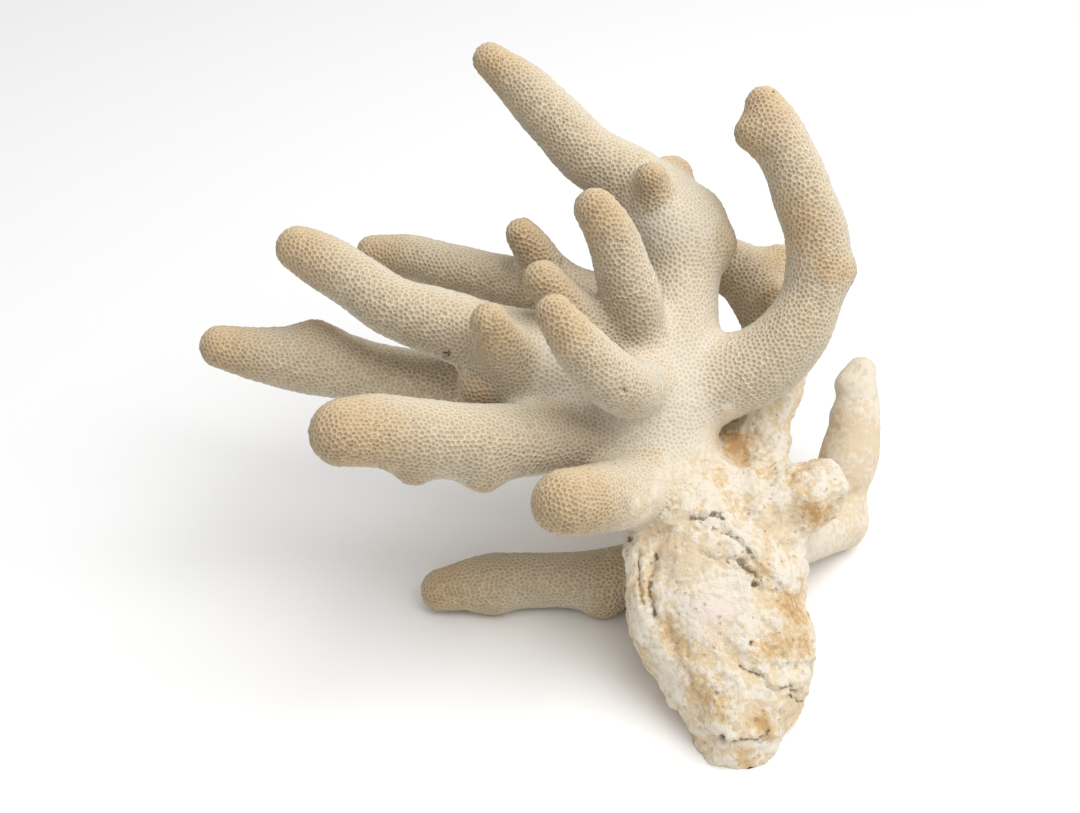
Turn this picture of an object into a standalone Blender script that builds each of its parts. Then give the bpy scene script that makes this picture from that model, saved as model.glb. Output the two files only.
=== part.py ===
"""A branching finger coral at its real size, lying as it was laid down.

The coral grew as one stem that forks again and again. It is laid out as limbs: each limb is a row of joints, and a
joint is a ball of the finger's thickness there. The balls are swept along a smooth line, all limbs are blended into
one skin, the skin is sawn flat where the coral stands on its stump, and it is sawn through at the main forks.

Joints are given in millimetres as the coral is seen from in front and above: across to the right, up, away from the
eye past the working plane, and the ball's radius as it appears. place() turns them into the model's own frame, which
has +Z up, the surface that the coral lies on at z = 0, and the middle of the coral's box above the origin.
"""

import math
from dataclasses import dataclass

import bmesh
import bpy
import numpy as np
from mathutils import Matrix, Vector, noise

MM = 0.001

# The eye that the joints are seen from
EYE_DISTANCE = 450.0
EYE_AXIS = (-30.0, 13.05)
EYE_ELEVATION = math.radians(38.0)

# The model's origin in the working plane's frame: box middle across and in depth, and the surface it lies on
ORIGIN = np.array((-26.3, 5.3, -54.0))

# How limbs melt into each other, and how coarse the skin is
FILLET = 2.2
STEP_ALONG = 3.0
BALL_ROUNDNESS = 2
SKIN_VOXEL = 1.6
FACES_KEPT = 0.072

# Settling points on the skin: how often, and the least steepness that a step is worked out with
SETTLE_ROUNDS = 4
LEAST_STEEP = 0.25
TINY = 1e-9

# Slow unevenness of the skin: reach of one lump and how far it stands out, on the live coral and on the dead stump
LIVE_LUMP = (15.0, 0.45)
DEAD_LUMP = (11.0, 1.7)

# The saw that parts the coral at its forks, and how finely a fork's place between two joints is found
SAW_GAP = 0.3
SAW_SIDES = 20
FORK_STEPS = 40

# Points this near the resting surface, in metres, count as on it; edges sharper than this stay crisp
CUT_REACH = 1e-6
CRISP_ANGLE = math.radians(40)

# The two finishes, and the pieces whose skin is worn smooth all over
PITTED = "pitted_skeleton"
WORN = "worn_skeleton"
WORN_NODES = ("stump", "back_stem", "right_finger")


@dataclass(frozen=True)
class Limb:
    """One finger, bough or knob: its node, and its joints from the root out as (across, up, away, radius)."""

    node: str
    joints: tuple
    dead: bool = False


@dataclass(frozen=True)
class Fork:
    """Where a node is sawn off: on its main limb, this many joints out from the root, with a blade this wide.

    The blade stands square to the limb, or faces the way given, as (across, up, away).
    """

    node: str
    at: float
    blade: float
    facing: tuple = ()


LIMBS = (
    # The stump, dead and worn: two thick runs side by side that taper to the broken end
    Limb("stump", ((7, -12, 3, 15), (16, -28, -2, 19), (16, -48, -6, 20), (20, -62, -11, 17.5),
                   (26, -75, -17, 14), (27.5, -86.5, -20, 10)), dead=True),
    Limb("stump", ((25, -15, 4, 13), (28.5, -30, 2, 20), (29.5, -48, -3, 20), (35, -62, -9, 17),
                   (35.5, -74, -15, 13), (30, -86, -19, 10)), dead=True),
    # The knob on the stump's right shoulder
    Limb("stump", ((36, -19, 4, 12), (44, -15.5, -1, 10.3), (51.5, -13, -3, 10)), dead=True),
    # The ridge down the stump's left flank
    Limb("stump", ((1, -33, -12, 5), (1.2, -43, -17, 5), (3, -54, -17, 4.6)), dead=True),
    # The trunk, from the top of the stump to where the tall finger leans away
    Limb("trunk", ((10, -5, 3, 13.5), (6, 6, 4, 15.5), (8, 20, 4, 15), (9.5, 31, 4, 13.5), (11.5, 46, 6, 11.8),
                   (12, 58, 8, 12), (10.5, 66.5, 9, 12.3))),
    Limb("trunk", ((12, 66, 8, 10), (17, 70, 9, 7.5))),
    Limb("trunk", ((13, 60, 8, 9), (21.8, 61.5, 6, 7))),
    Limb("trunk", ((4.5, 73, 3, 6), (3.5, 81.5, -5, 4.8))),
    Limb("trunk", ((9, 71, 12, 8), (9.5, 82, 18, 6.3))),
    # The bough that leaves the trunk to the left and carries the left fingers
    Limb("trunk", ((6, 12, 2, 15), (-6, 14, -2, 14.5), (-20, 20.5, -3, 14), (-30, 26.5, -5, 13.3))),
    Limb("trunk", ((-12, 14, -1, 12), (-26, 16, 3, 11.5), (-36, 17, 7, 11))),
    # Three short knuckles that the bough turns towards the eye
    Limb("trunk", ((0, 27, 0, 11), (-13, 34, -9, 8), (-21.5, 43, -16, 7), (-29, 51, -22, 6.2))),
    Limb("trunk", ((-35, 22, -5, 9.5), (-39.5, 28.5, -17, 8.2), (-43, 34, -24, 7.2), (-45.2, 38.5, -28, 6))),
    Limb("trunk", ((-32, 19.5, -1, 9), (-42, 20, -7, 7.3), (-48.5, 18.8, -11, 6.2))),
    Limb("tall_finger", ((10.5, 66.5, 9, 12), (-2, 80, 10, 10.3), (-15.5, 88.5, 10, 9.4), (-25.3, 98.4, 10, 8.6),
                         (-34.7, 108.2, 10, 7.6), (-45, 116.8, 10, 5.4))),
    Limb("hooked_finger", ((10, 18, 4, 14), (25, 21.5, 0, 12.5), (37.5, 27, -3, 11.6), (46.8, 36, -6, 10.5),
                           (51.8, 47, -8, 9.1), (53.2, 57, -9, 9), (52.6, 66, -10, 9.4), (49, 76, -11, 9),
                           (45, 87, -12, 8.5), (39.5, 97.5, -12, 7.6), (37, 103.5, -12, 5.7))),
    Limb("hooked_finger", ((39, 94, -12, 6), (33.2, 95, -13, 4.8))),
    Limb("hooked_finger", ((55, 54, -9, 7), (60, 54, -9, 4.2))),
    Limb("upright_finger", ((3, 28, 0, 10), (-1, 36, -8, 8.2), (-2, 45, -15, 8.6), (-5.5, 55, -20, 8.4),
                            (-9, 65, -24, 7.8), (-13.5, 72.3, -27, 6.6))),
    Limb("front_finger", ((3.5, 19.5, -2, 10.5), (-0.5, 19, -15, 8.7), (-3.6, 18.3, -28, 9.3), (-7, 20, -33, 9.3),
                          (-13, 25.5, -38, 8.7), (-20, 33.5, -42, 7.6), (-25.5, 41, -44, 6.2))),
    Limb("upper_left_finger", ((-30, 26.5, -5, 13.3), (-45, 33, -8, 11.3), (-60, 38.3, -9, 10.2),
                               (-74.2, 43, -9, 9.3), (-84, 49.6, -8, 8.8), (-98.3, 58.2, -6, 7.9),
                               (-102.5, 60.3, -6, 6.8))),
    Limb("far_left_finger", ((-36, 17, 7, 11), (-50, 18.5, 12, 10), (-65, 20.3, 14, 9.5), (-80, 23, 14, 9.5),
                             (-97, 26.6, 12, 10.1), (-113, 28.6, 10, 8.5), (-125.5, 30.8, 8, 6.6))),
    Limb("far_left_finger", ((-96, 29, 11, 8), (-97.5, 33.6, 11, 4.8))),
    Limb("lower_left_finger", ((-6, 6.5, -2, 12.5), (-22, 4.5, -12, 10.8), (-35, 2.8, -20, 11), (-50, 2.5, -27, 11.3),
                               (-65, 3.8, -33, 11.4), (-80, 5.8, -38, 10.9), (-89, 5.3, -42, 10.4))),
    Limb("lower_left_finger", ((-67, -1, -33, 6), (-68, -6.3, -33, 4))),
    Limb("lower_left_finger", ((-47, 0, -26, 8), (-47, -6.5, -26, 5.8))),
    Limb("rear_left_finger", ((9, 42, 10, 10), (-2, 43.6, 20, 8.5), (-18, 46, 28, 8.2), (-32, 48.9, 33, 8),
                              (-45, 51.9, 38, 7.4), (-60, 55.4, 44, 7.3), (-70, 58, 48, 6.9), (-79.3, 58.7, 51, 5.9))),
    Limb("rear_short_finger", ((-26, 50, 31, 6.8), (-29.5, 55.5, 25, 6.8), (-32, 60, 21, 6.2),
                               (-35.5, 64.8, 18, 4.9))),
    Limb("resting_finger", ((20, -30, 12, 12), (4, -35, 20, 9.5), (-12, -38.6, 21, 8.4), (-25, -39, 21, 8.3),
                            (-38, -39.2, 21, 8), (-50, -40.2, 20, 7.7), (-59.3, -42, 20, 6.7))),
    Limb("resting_finger", ((-44, -40, 20, 6), (-44, -44, 19.5, 4.7))),
    Limb("resting_finger", ((-11, -40, 20, 7), (-11, -44.5, 19.5, 5.6))),
    Limb("thumb", ((6, -4, 0, 12.5), (-2, -11.5, -12, 11), (-8, -13.8, -22, 10.8), (-16, -15, -32, 10.6),
                   (-22.3, -15.8, -37, 10.3))),
    # The second stem rises behind the trunk and carries the rear right finger
    Limb("back_stem", ((34, -20, 6, 11), (34.5, -3, 12, 8.3), (37.5, 10, 18, 8), (41.5, 20, 24, 8),
                       (42.5, 31, 30, 8.5)), dead=True),
    # The wall at the back of the hollow between the two stems
    Limb("stump", ((14, -6, 14, 9), (24, -4, 17, 8), (33, -6, 15, 7)), dead=True),
    Limb("stump", ((34.5, -1, 14, 8), (28.5, 5.5, 22, 6.5)), dead=True),
    Limb("rear_right_finger", ((42.5, 31, 30, 8.5), (38.5, 42, 34, 9.2), (33, 51, 37, 8.8), (24, 56.5, 40, 8),
                               (16, 59, 42, 6.5))),
    Limb("rear_right_finger", ((36, 50, 36, 8), (42, 55, 38, 6.8))),
    Limb("rear_right_finger", ((39, 44, 30, 6), (40, 45.5, 25.5, 4.2))),
    # The right finger springs from a second knob low on the stump
    Limb("right_finger", ((38, -26, 10, 10.5), (47, -25.5, 20, 9), (54, -24, 30, 8), (60, -22, 41, 7.5))),
    Limb("right_finger", ((60, -20, 41, 7), (60.7, -11, 41, 7.2), (62, -3.4, 41, 8.8), (64.3, 5, 41, 7.8),
                          (64.6, 9.5, 41, 7.4), (66.1, 14.4, 41, 5.6), (65.4, 19.3, 41, 5), (66.4, 24, 41, 4.2))),
    Limb("right_finger", ((64, 19, 41, 4), (62.4, 19.5, 40, 3.2))),
    # Two fingers behind, which the front of the coral hides
    Limb("rear_low_finger", ((6, 18, 8, 11), (4, 15, 24, 9.5), (3, 7, 42, 9), (3, -1.5, 57, 8.4),
                             (3, -5, 66, 7))),
    Limb("rear_mid_finger", ((10, 32, 8, 11), (13, 33.5, 28, 9), (14, 33.5, 46, 8), (13, 32.5, 60, 7),
                             (12, 32, 66, 5.5))),
)

FORKS = (
    Fork("stump", 0.0, 28, facing=(0.64, -0.7, 0.25)),
    Fork("tall_finger", 1.15, 13.5),
    Fork("hooked_finger", 1.5, 15),
    Fork("upright_finger", 2.5, 10.4),
    Fork("front_finger", 1.7, 13, facing=(0, 0, -1)),
    Fork("upper_left_finger", 1.4, 13),
    Fork("far_left_finger", 1.1, 12.5),
    Fork("lower_left_finger", 2.1, 12.5),
    Fork("rear_left_finger", 1.2, 11),
    Fork("rear_short_finger", 1.45, 9.5, facing=(-0.1, 0.65, -0.75)),
    Fork("resting_finger", 1.8, 12),
    Fork("thumb", 2.3, 12.8),
    Fork("back_stem", 2.3, 10),
    Fork("rear_right_finger", 0.3, 11.5),
    Fork("right_finger", 1.2, 11.5),
    Fork("rear_low_finger", 1.4, 11),
    Fork("rear_mid_finger", 1.3, 10.5),
)

FINISHES = {
    PITTED: {"colour": (0.66, 0.53, 0.37, 1.0), "roughness": 0.85},
    WORN: {"colour": (0.78, 0.69, 0.55, 1.0), "roughness": 0.92},
}


def place(joints):
    """Joints as seen, as rows of x, y, z and radius in the model's frame, in millimetres."""
    across, up, away, radius = np.array(joints, float).T
    grow = 1 + away / EYE_DISTANCE
    right = EYE_AXIS[0] + (across - EYE_AXIS[0]) * grow
    rise = EYE_AXIS[1] + (up - EYE_AXIS[1]) * grow
    back = rise * math.sin(EYE_ELEVATION) + away * math.cos(EYE_ELEVATION)
    height = rise * math.cos(EYE_ELEVATION) - away * math.sin(EYE_ELEVATION)
    points = np.stack((right, back, height), axis=1) - ORIGIN
    return np.column_stack((points, radius * grow))


def smooth_line(knots, steps_in):
    """A smooth line through the knots, as the cubic that leaves each knot in the direction of its neighbours."""
    gap = np.linalg.norm(np.diff(knots[:, :3], axis=0), axis=1)
    slope = np.diff(knots, axis=0) / gap[:, None]
    lean = np.empty_like(knots)
    lean[0], lean[-1] = slope[0], slope[-1]
    if len(knots) > 2:
        before, after = gap[:-1, None], gap[1:, None]
        lean[1:-1] = (slope[:-1] * after + slope[1:] * before) / (before + after)
    rows = []
    for i, length in enumerate(gap):
        t = steps_in(i, length)[:, None]
        rows.append(
            knots[i] * (1 + 2 * t) * (1 - t) ** 2
            + lean[i] * length * t * (1 - t) ** 2
            + knots[i + 1] * t**2 * (3 - 2 * t)
            + lean[i + 1] * length * t**2 * (t - 1)
        )
    return np.concatenate(rows + [knots[-1:]])


def limb_line(limb):
    """The limb's balls in order, about STEP_ALONG apart."""
    return smooth_line(
        place(limb.joints),
        lambda i, length: np.arange(n := max(1, round(length / STEP_ALONG))) / n,
    )


def point_on_limb(limb, at):
    """The ball this many joints out from the root, and the direction in which the limb runs there."""
    line = smooth_line(place(limb.joints), lambda i, length: np.arange(FORK_STEPS) / FORK_STEPS)
    i = min(int(at * FORK_STEPS), len(line) - 2)
    ahead = line[i + 1, :3] - line[i, :3]
    return line[i], ahead / np.linalg.norm(ahead)


def lumps(points, reach, height):
    """Slow unevenness at each point."""
    return height * np.array([noise.noise(Vector(p)) for p in points / reach])


class Skin:
    """How far a point is outside the blended limbs, and which way is out."""

    def __init__(self):
        self.lines = [limb_line(limb) for limb in LIMBS]
        self.dead = np.array([limb.dead for limb in LIMBS])

    def one_limb(self, points, line):
        """Distance to one limb's surface, and the unit direction away from its middle."""
        start, run = line[:-1], np.diff(line, axis=0)
        square = (run[:, :3] ** 2).sum(axis=1)
        along = (points @ run[:, :3].T - (start[:, :3] * run[:, :3]).sum(axis=1)) / square
        t = np.clip(along, 0, 1)
        middle = start[None, :, :3] + t[..., None] * run[None, :, :3]
        gap = np.linalg.norm(points[:, None] - middle, axis=2)
        outside = gap - start[:, 3] - t * run[:, 3]
        nearest = outside.argmin(axis=1)
        rows = np.arange(len(points))
        out = points - middle[rows, nearest]
        return outside[rows, nearest], out / np.maximum(gap[rows, nearest], TINY)[:, None]

    def measure(self, points):
        """Distance outside the blended skin, the way out, and how much of the skin there is dead."""
        found = [self.one_limb(points, line) for line in self.lines]
        distance = np.stack([d for d, _ in found])
        ways = np.stack([w for _, w in found])
        nearest = distance.min(axis=0)
        share = np.exp(-(distance - nearest) / FILLET)
        total = share.sum(axis=0)
        share /= total
        way = (share[..., None] * ways).sum(axis=0)
        dead = share[self.dead].sum(axis=0)
        blended = nearest - FILLET * np.log(total)
        uneven = (1 - dead) * lumps(points, *LIVE_LUMP) + dead * lumps(points, *DEAD_LUMP)
        return blended - uneven, way, dead

    def settle(self, points):
        """The points moved onto the skin."""
        for _ in range(SETTLE_ROUNDS):
            distance, way, _ = self.measure(points)
            square = np.maximum((way**2).sum(axis=1), LEAST_STEEP)
            points = points - (distance / square)[:, None] * way
        return points


def mesh_points(mesh):
    """The mesh's vertices, as an array in millimetres."""
    found = np.empty(len(mesh.vertices) * 3)
    mesh.vertices.foreach_get("co", found)
    return found.reshape(-1, 3) / MM


def set_mesh_points(mesh, points):
    """Moves the mesh's vertices to these points, in millimetres."""
    mesh.vertices.foreach_set("co", (points * MM).ravel())
    mesh.update()


def applied(obj):
    """The object with its modifiers made part of its mesh."""
    graph = bpy.context.evaluated_depsgraph_get()
    old = obj.data
    obj.data = bpy.data.meshes.new_from_object(obj.evaluated_get(graph))
    obj.modifiers.clear()
    bpy.data.meshes.remove(old)
    return obj


def remeshed(obj, voxel):
    """The object with an even skin of squares this wide, in millimetres."""
    remesh = obj.modifiers.new("even skin", "REMESH")
    remesh.mode = "VOXEL"
    remesh.voxel_size = voxel * MM
    return applied(obj)


def swept_balls(skin):
    """All limbs as rows of balls, in one object."""
    bm = bmesh.new()
    for line in skin.lines:
        for x, y, z, radius in line:
            bmesh.ops.create_icosphere(
                bm, subdivisions=BALL_ROUNDNESS, radius=radius * MM, matrix=Matrix.Translation(Vector((x, y, z)) * MM)
            )
    mesh = bpy.data.meshes.new("coral")
    bm.to_mesh(mesh)
    bm.free()
    obj = bpy.data.objects.new("coral", mesh)
    bpy.context.scene.collection.objects.link(obj)
    return obj


def grown_coral(skin):
    """The whole coral in one skin, before it is sawn."""
    coral = remeshed(swept_balls(skin), SKIN_VOXEL)
    set_mesh_points(coral.data, skin.settle(mesh_points(coral.data)))
    thin = coral.modifiers.new("fewer faces", "DECIMATE")
    thin.ratio = FACES_KEPT
    return applied(coral)


def cut_flat(coral):
    """Saws off all that lies below the surface that the coral rests on."""
    bm = bmesh.new()
    bm.from_mesh(coral.data)
    cut = bmesh.ops.bisect_plane(
        bm,
        geom=bm.verts[:] + bm.edges[:] + bm.faces[:],
        dist=CUT_REACH,
        plane_co=(0, 0, 0),
        plane_no=(0, 0, -1),
        clear_outer=True,
    )
    rim = [e for e in cut["geom_cut"] if isinstance(e, bmesh.types.BMEdge)]
    for vertex in {v for edge in rim for v in edge.verts}:
        vertex.co.z = 0.0
    bmesh.ops.holes_fill(bm, edges=rim, sides=0)
    bmesh.ops.triangulate(bm, faces=bm.faces[:])
    bmesh.ops.recalc_face_normals(bm, faces=bm.faces[:])
    bm.to_mesh(coral.data)
    bm.free()


def turned(way):
    """A direction as seen, in the model's frame."""
    across, up, away = way
    back = up * math.sin(EYE_ELEVATION) + away * math.cos(EYE_ELEVATION)
    height = up * math.cos(EYE_ELEVATION) - away * math.sin(EYE_ELEVATION)
    return across, back, height


def saw_blades():
    """One thin disc across the root of each node, all in one hidden object."""
    bm = bmesh.new()
    for fork in FORKS:
        limb = next(limb for limb in LIMBS if limb.node == fork.node)
        ball, ahead = point_on_limb(limb, fork.at)
        facing = Vector(turned(fork.facing) if fork.facing else ahead)
        bmesh.ops.create_cone(
            bm,
            cap_ends=True,
            segments=SAW_SIDES,
            radius1=fork.blade * MM,
            radius2=fork.blade * MM,
            depth=SAW_GAP * MM,
            matrix=Matrix.Translation(Vector(ball[:3]) * MM) @ facing.to_track_quat("Z", "Y").to_matrix().to_4x4(),
        )
    mesh = bpy.data.meshes.new("saw")
    bm.to_mesh(mesh)
    bm.free()
    saw = bpy.data.objects.new("saw", mesh)
    bpy.context.scene.collection.objects.link(saw)
    saw.hide_render = True
    saw.display_type = "WIRE"
    return saw


def sawn(coral):
    """The coral parted by the saw blades."""
    saw = saw_blades()
    cut = coral.modifiers.new("saw", "BOOLEAN")
    cut.operation = "DIFFERENCE"
    cut.object = saw
    cut.use_self = True
    applied(coral)
    bpy.data.objects.remove(saw)
    return coral


def loose_pieces(mesh):
    """The mesh's separate bodies, as lists of face numbers."""
    bm = bmesh.new()
    bm.from_mesh(mesh)
    bm.faces.ensure_lookup_table()
    seen, pieces = set(), []
    for face in bm.faces:
        if face.index in seen:
            continue
        piece, edge_of_search = [], [face]
        seen.add(face.index)
        while edge_of_search:
            at = edge_of_search.pop()
            piece.append(at.index)
            for edge in at.edges:
                for other in edge.link_faces:
                    if other.index not in seen:
                        seen.add(other.index)
                        edge_of_search.append(other)
        pieces.append(piece)
    bm.free()
    return pieces


def finish(name):
    """The material of this name."""
    found = bpy.data.materials.get(name)
    if found is None:
        found = bpy.data.materials.new(name)
        found.use_nodes = True
        shader = found.node_tree.nodes["Principled BSDF"]
        shader.inputs["Base Color"].default_value = FINISHES[name]["colour"]
        shader.inputs["Roughness"].default_value = FINISHES[name]["roughness"]
        shader.inputs["Metallic"].default_value = 0.0
    return found


def node_object(name, mesh, faces):
    """One named piece, from some faces of the sawn coral."""
    kept = set(faces)
    bm = bmesh.new()
    bm.from_mesh(mesh)
    bmesh.ops.delete(bm, geom=[f for f in bm.faces if f.index not in kept], context="FACES")
    piece = bpy.data.meshes.new(name)
    bm.to_mesh(piece)
    bm.free()
    piece.shade_smooth()
    piece.set_sharp_from_angle(angle=CRISP_ANGLE)
    piece.materials.clear()
    piece.materials.append(finish(WORN if name in WORN_NODES else PITTED))
    obj = bpy.data.objects.new(name, piece)
    bpy.context.scene.collection.objects.link(obj)
    return obj


def part_into_nodes(coral):
    """Names each separate body after the limb whose tip it holds."""
    pieces = loose_pieces(coral.data)
    points = mesh_points(coral.data)
    corners = np.array([f.vertices[0] for f in coral.data.polygons])
    made = {}
    for name in dict.fromkeys(limb.node for limb in LIMBS):
        limb = next(limb for limb in LIMBS if limb.node == name)
        ball = place(limb.joints)[-2 if name in ("trunk", "stump") else -1]
        spread = [abs(np.linalg.norm(points[corners[p]] - ball[:3], axis=1) - ball[3]).min() for p in pieces]
        holder = int(np.argmin(spread))
        if holder in made.values():
            raise ValueError(f"{name} isn't parted from {[k for k, v in made.items() if v == holder]}")
        made[name] = holder
        node_object(name, coral.data, pieces[holder])
    if len(pieces) != len(made):
        raise ValueError(f"{len(pieces)} bodies for {len(made)} nodes")
    bpy.data.objects.remove(coral)


def build():
    """Makes the coral's nodes in an empty scene."""
    for obj in list(bpy.data.objects):
        bpy.data.objects.remove(obj)
    skin = Skin()
    coral = grown_coral(skin)
    cut_flat(coral)
    part_into_nodes(sawn(coral))


build()
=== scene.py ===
"""A dry branching finger coral, dressed over its solid frame.

The coral is one skin blended over rows of balls, the limbs. The skin is evened out into a net of points about
a pit's width apart, each point becomes one pit of the skeleton, and the worn stump gets lumps, ledges, cracks
and holes instead of pits. The skin is then parted at the forks, one closed piece for each node of the frame.
"""

from __future__ import annotations

import logging
import math
from collections.abc import Sequence
from dataclasses import dataclass, field
from enum import Enum
from typing import Any

import bmesh
import bpy
import numpy as np
from mathutils import Matrix, Vector, noise
from mathutils.bvhtree import BVHTree


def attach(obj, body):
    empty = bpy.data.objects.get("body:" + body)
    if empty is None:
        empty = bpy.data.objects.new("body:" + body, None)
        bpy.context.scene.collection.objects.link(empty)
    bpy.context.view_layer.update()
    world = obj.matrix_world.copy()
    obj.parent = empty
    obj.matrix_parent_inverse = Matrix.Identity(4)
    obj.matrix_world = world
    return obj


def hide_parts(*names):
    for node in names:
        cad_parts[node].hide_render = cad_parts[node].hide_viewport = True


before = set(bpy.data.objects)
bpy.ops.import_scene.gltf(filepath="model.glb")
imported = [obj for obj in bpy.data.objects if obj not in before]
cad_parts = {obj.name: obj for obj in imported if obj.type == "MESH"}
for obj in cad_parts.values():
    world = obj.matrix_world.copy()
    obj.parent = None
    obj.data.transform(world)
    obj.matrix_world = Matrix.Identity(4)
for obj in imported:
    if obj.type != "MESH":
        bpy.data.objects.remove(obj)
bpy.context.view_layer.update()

MM = 0.001
FAR = 1e3
TINY = 1e-9
LOG = logging.getLogger("coral")

Joints = Sequence[tuple[float, float, float, float]]
Path = tuple[tuple[float, float], ...]
Colour = tuple[float, float, float]


def placed(name: str, data: Any) -> bpy.types.Object:
    """A new object in the scene."""
    obj = bpy.data.objects.new(name, data)
    bpy.context.scene.collection.objects.link(obj)
    return obj


def read_all(items: Any, key: str, width: int = 1, kind: type = np.float32) -> np.ndarray:
    """Reads one property of a mesh's vertices, corners or the like.

    Args:
        items: what is read.
        key: the property's name.
        width: how many numbers it holds.
        kind: their type.

    Returns:
        A number for each item, or a row of them where there are more.
    """
    found = np.empty(len(items) * width, kind)
    items.foreach_get(key, found)
    return found.reshape(-1, width) if width > 1 else found


def keep(mesh: bpy.types.Mesh, name: str, values: np.ndarray, kind: str = "FLOAT") -> None:
    """Stores one number for each point of a mesh.

    Args:
        mesh: the mesh.
        name: the attribute's name.
        values: the numbers.
        kind: the attribute's type.
    """
    numbers = values.astype(np.float32 if kind == "FLOAT" else np.int32)
    mesh.attributes.new(name, kind, "POINT").data.foreach_set("value", numbers)


def wavy(points: np.ndarray, reach: float) -> np.ndarray:
    """Noise between about -1 and 1 at each point, in waves about a reach long."""
    return np.array([noise.noise(Vector(p)) for p in points / reach])


@dataclass(frozen=True)
class Eye:
    """Where the coral is seen from, and how places as seen turn into the frame's own millimetres.

    A place as seen is (across to the right, up, away past the working plane), in millimetres in that plane.
    """

    distance: float = 450.0
    axis_across: float = -30.0
    axis_up: float = 13.05
    elevation: float = math.radians(38.0)
    origin: tuple[float, float, float] = (-26.3, 5.3, -54.0)
    lens: float = 50.0
    sensor: float = 36.0
    nearest: float = 0.01

    def framed(self, right: np.ndarray, rise: np.ndarray, away: np.ndarray) -> np.ndarray:
        """Turns lengths along the eye's own axes into points of the frame.

        Args:
            right: lengths to the right.
            rise: lengths upwards in the view.
            away: lengths away from the eye.

        Returns:
            Rows of x, y and z.
        """
        back = rise * math.sin(self.elevation) + away * math.cos(self.elevation)
        height = rise * math.cos(self.elevation) - away * math.sin(self.elevation)
        return np.stack((right, back, height), axis=-1)

    def place(self, joints: Joints) -> np.ndarray:
        """Turns joints as seen into balls of the frame.

        Args:
            joints: rows of (across, up, away, radius as it appears).

        Returns:
            Rows of x, y, z and radius, in millimetres.
        """
        across, up, away, radius = np.array(joints, float).T
        grow = 1 + away / self.distance
        right = self.axis_across + (across - self.axis_across) * grow
        rise = self.axis_up + (up - self.axis_up) * grow
        points = self.framed(right, rise, away) - np.array(self.origin)
        return np.column_stack((points, radius * grow))

    def seen(self, points: np.ndarray) -> np.ndarray:
        """The inverse of place, for points without a radius.

        Args:
            points: rows of x, y and z, in millimetres.

        Returns:
            Rows of across, up and away.
        """
        right, back, height = (points + np.array(self.origin)).T
        rise = back * math.sin(self.elevation) + height * math.cos(self.elevation)
        away = back * math.cos(self.elevation) - height * math.sin(self.elevation)
        grow = 1 + away / self.distance
        across = self.axis_across + (right - self.axis_across) / grow
        up = self.axis_up + (rise - self.axis_up) / grow
        return np.stack((across, up, away), axis=-1)

    def toward(self) -> np.ndarray:
        """The unit direction from the coral to the eye."""
        return -self.framed(np.array(0.0), np.array(0.0), np.array(1.0))

    def camera_place(self) -> Matrix:
        """The camera's matrix, in metres."""
        middle = self.framed(np.array(self.axis_across), np.array(self.axis_up), np.array(0.0))
        aim = middle - np.array(self.origin)
        stand = Vector(aim + self.toward() * self.distance) * MM
        turn = Vector(self.toward()).to_track_quat("Z", "Y")
        return Matrix.Translation(stand) @ turn.to_matrix().to_4x4()


EYE = Eye()


def smooth_line(knots: np.ndarray, parts: Sequence[int]) -> np.ndarray:
    """A smooth line through the knots, as the cubic that leaves each knot towards its neighbours.

    Args:
        knots: rows of x, y, z and radius.
        parts: how many steps each stretch between two knots gets.

    Returns:
        The line's points, as rows like the knots.
    """
    gap = np.linalg.norm(np.diff(knots[:, :3], axis=0), axis=1)
    slope = np.diff(knots, axis=0) / gap[:, None]
    lean = np.empty_like(knots)
    lean[0], lean[-1] = slope[0], slope[-1]
    if len(knots) > 2:
        before, after = gap[:-1, None], gap[1:, None]
        lean[1:-1] = (slope[:-1] * after + slope[1:] * before) / (before + after)
    rows = []
    for i, length in enumerate(gap):
        t = (np.arange(parts[i]) / parts[i])[:, None]
        rows.append(
            knots[i] * (1 + 2 * t) * (1 - t) ** 2
            + lean[i] * length * t * (1 - t) ** 2
            + knots[i + 1] * t**2 * (3 - 2 * t)
            + lean[i + 1] * length * t**2 * (t - 1)
        )
    return np.concatenate(rows + [knots[-1:]])


class Age(Enum):
    """Whether a limb still has its pits, has been rubbed smooth, or is worn down to chalk."""

    PITTED = "pitted"
    RUBBED = "rubbed"
    WORN = "worn"


@dataclass(frozen=True)
class Limb:
    """One finger, bough or knob: its node, and its joints as seen, from the root out.

    A limb that runs on is carried on by another one from its far end, so it has no fingertip of its own.
    """

    node: str
    joints: Joints
    age: Age = Age.PITTED
    runs_on: bool = False
    step: float = 3.0

    def line(self) -> np.ndarray:
        """The limb's balls in order, about one step apart."""
        knots = EYE.place(self.joints)
        gaps = np.linalg.norm(np.diff(knots[:, :3], axis=0), axis=1)
        return smooth_line(knots, [max(1, round(gap / self.step)) for gap in gaps])


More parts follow.
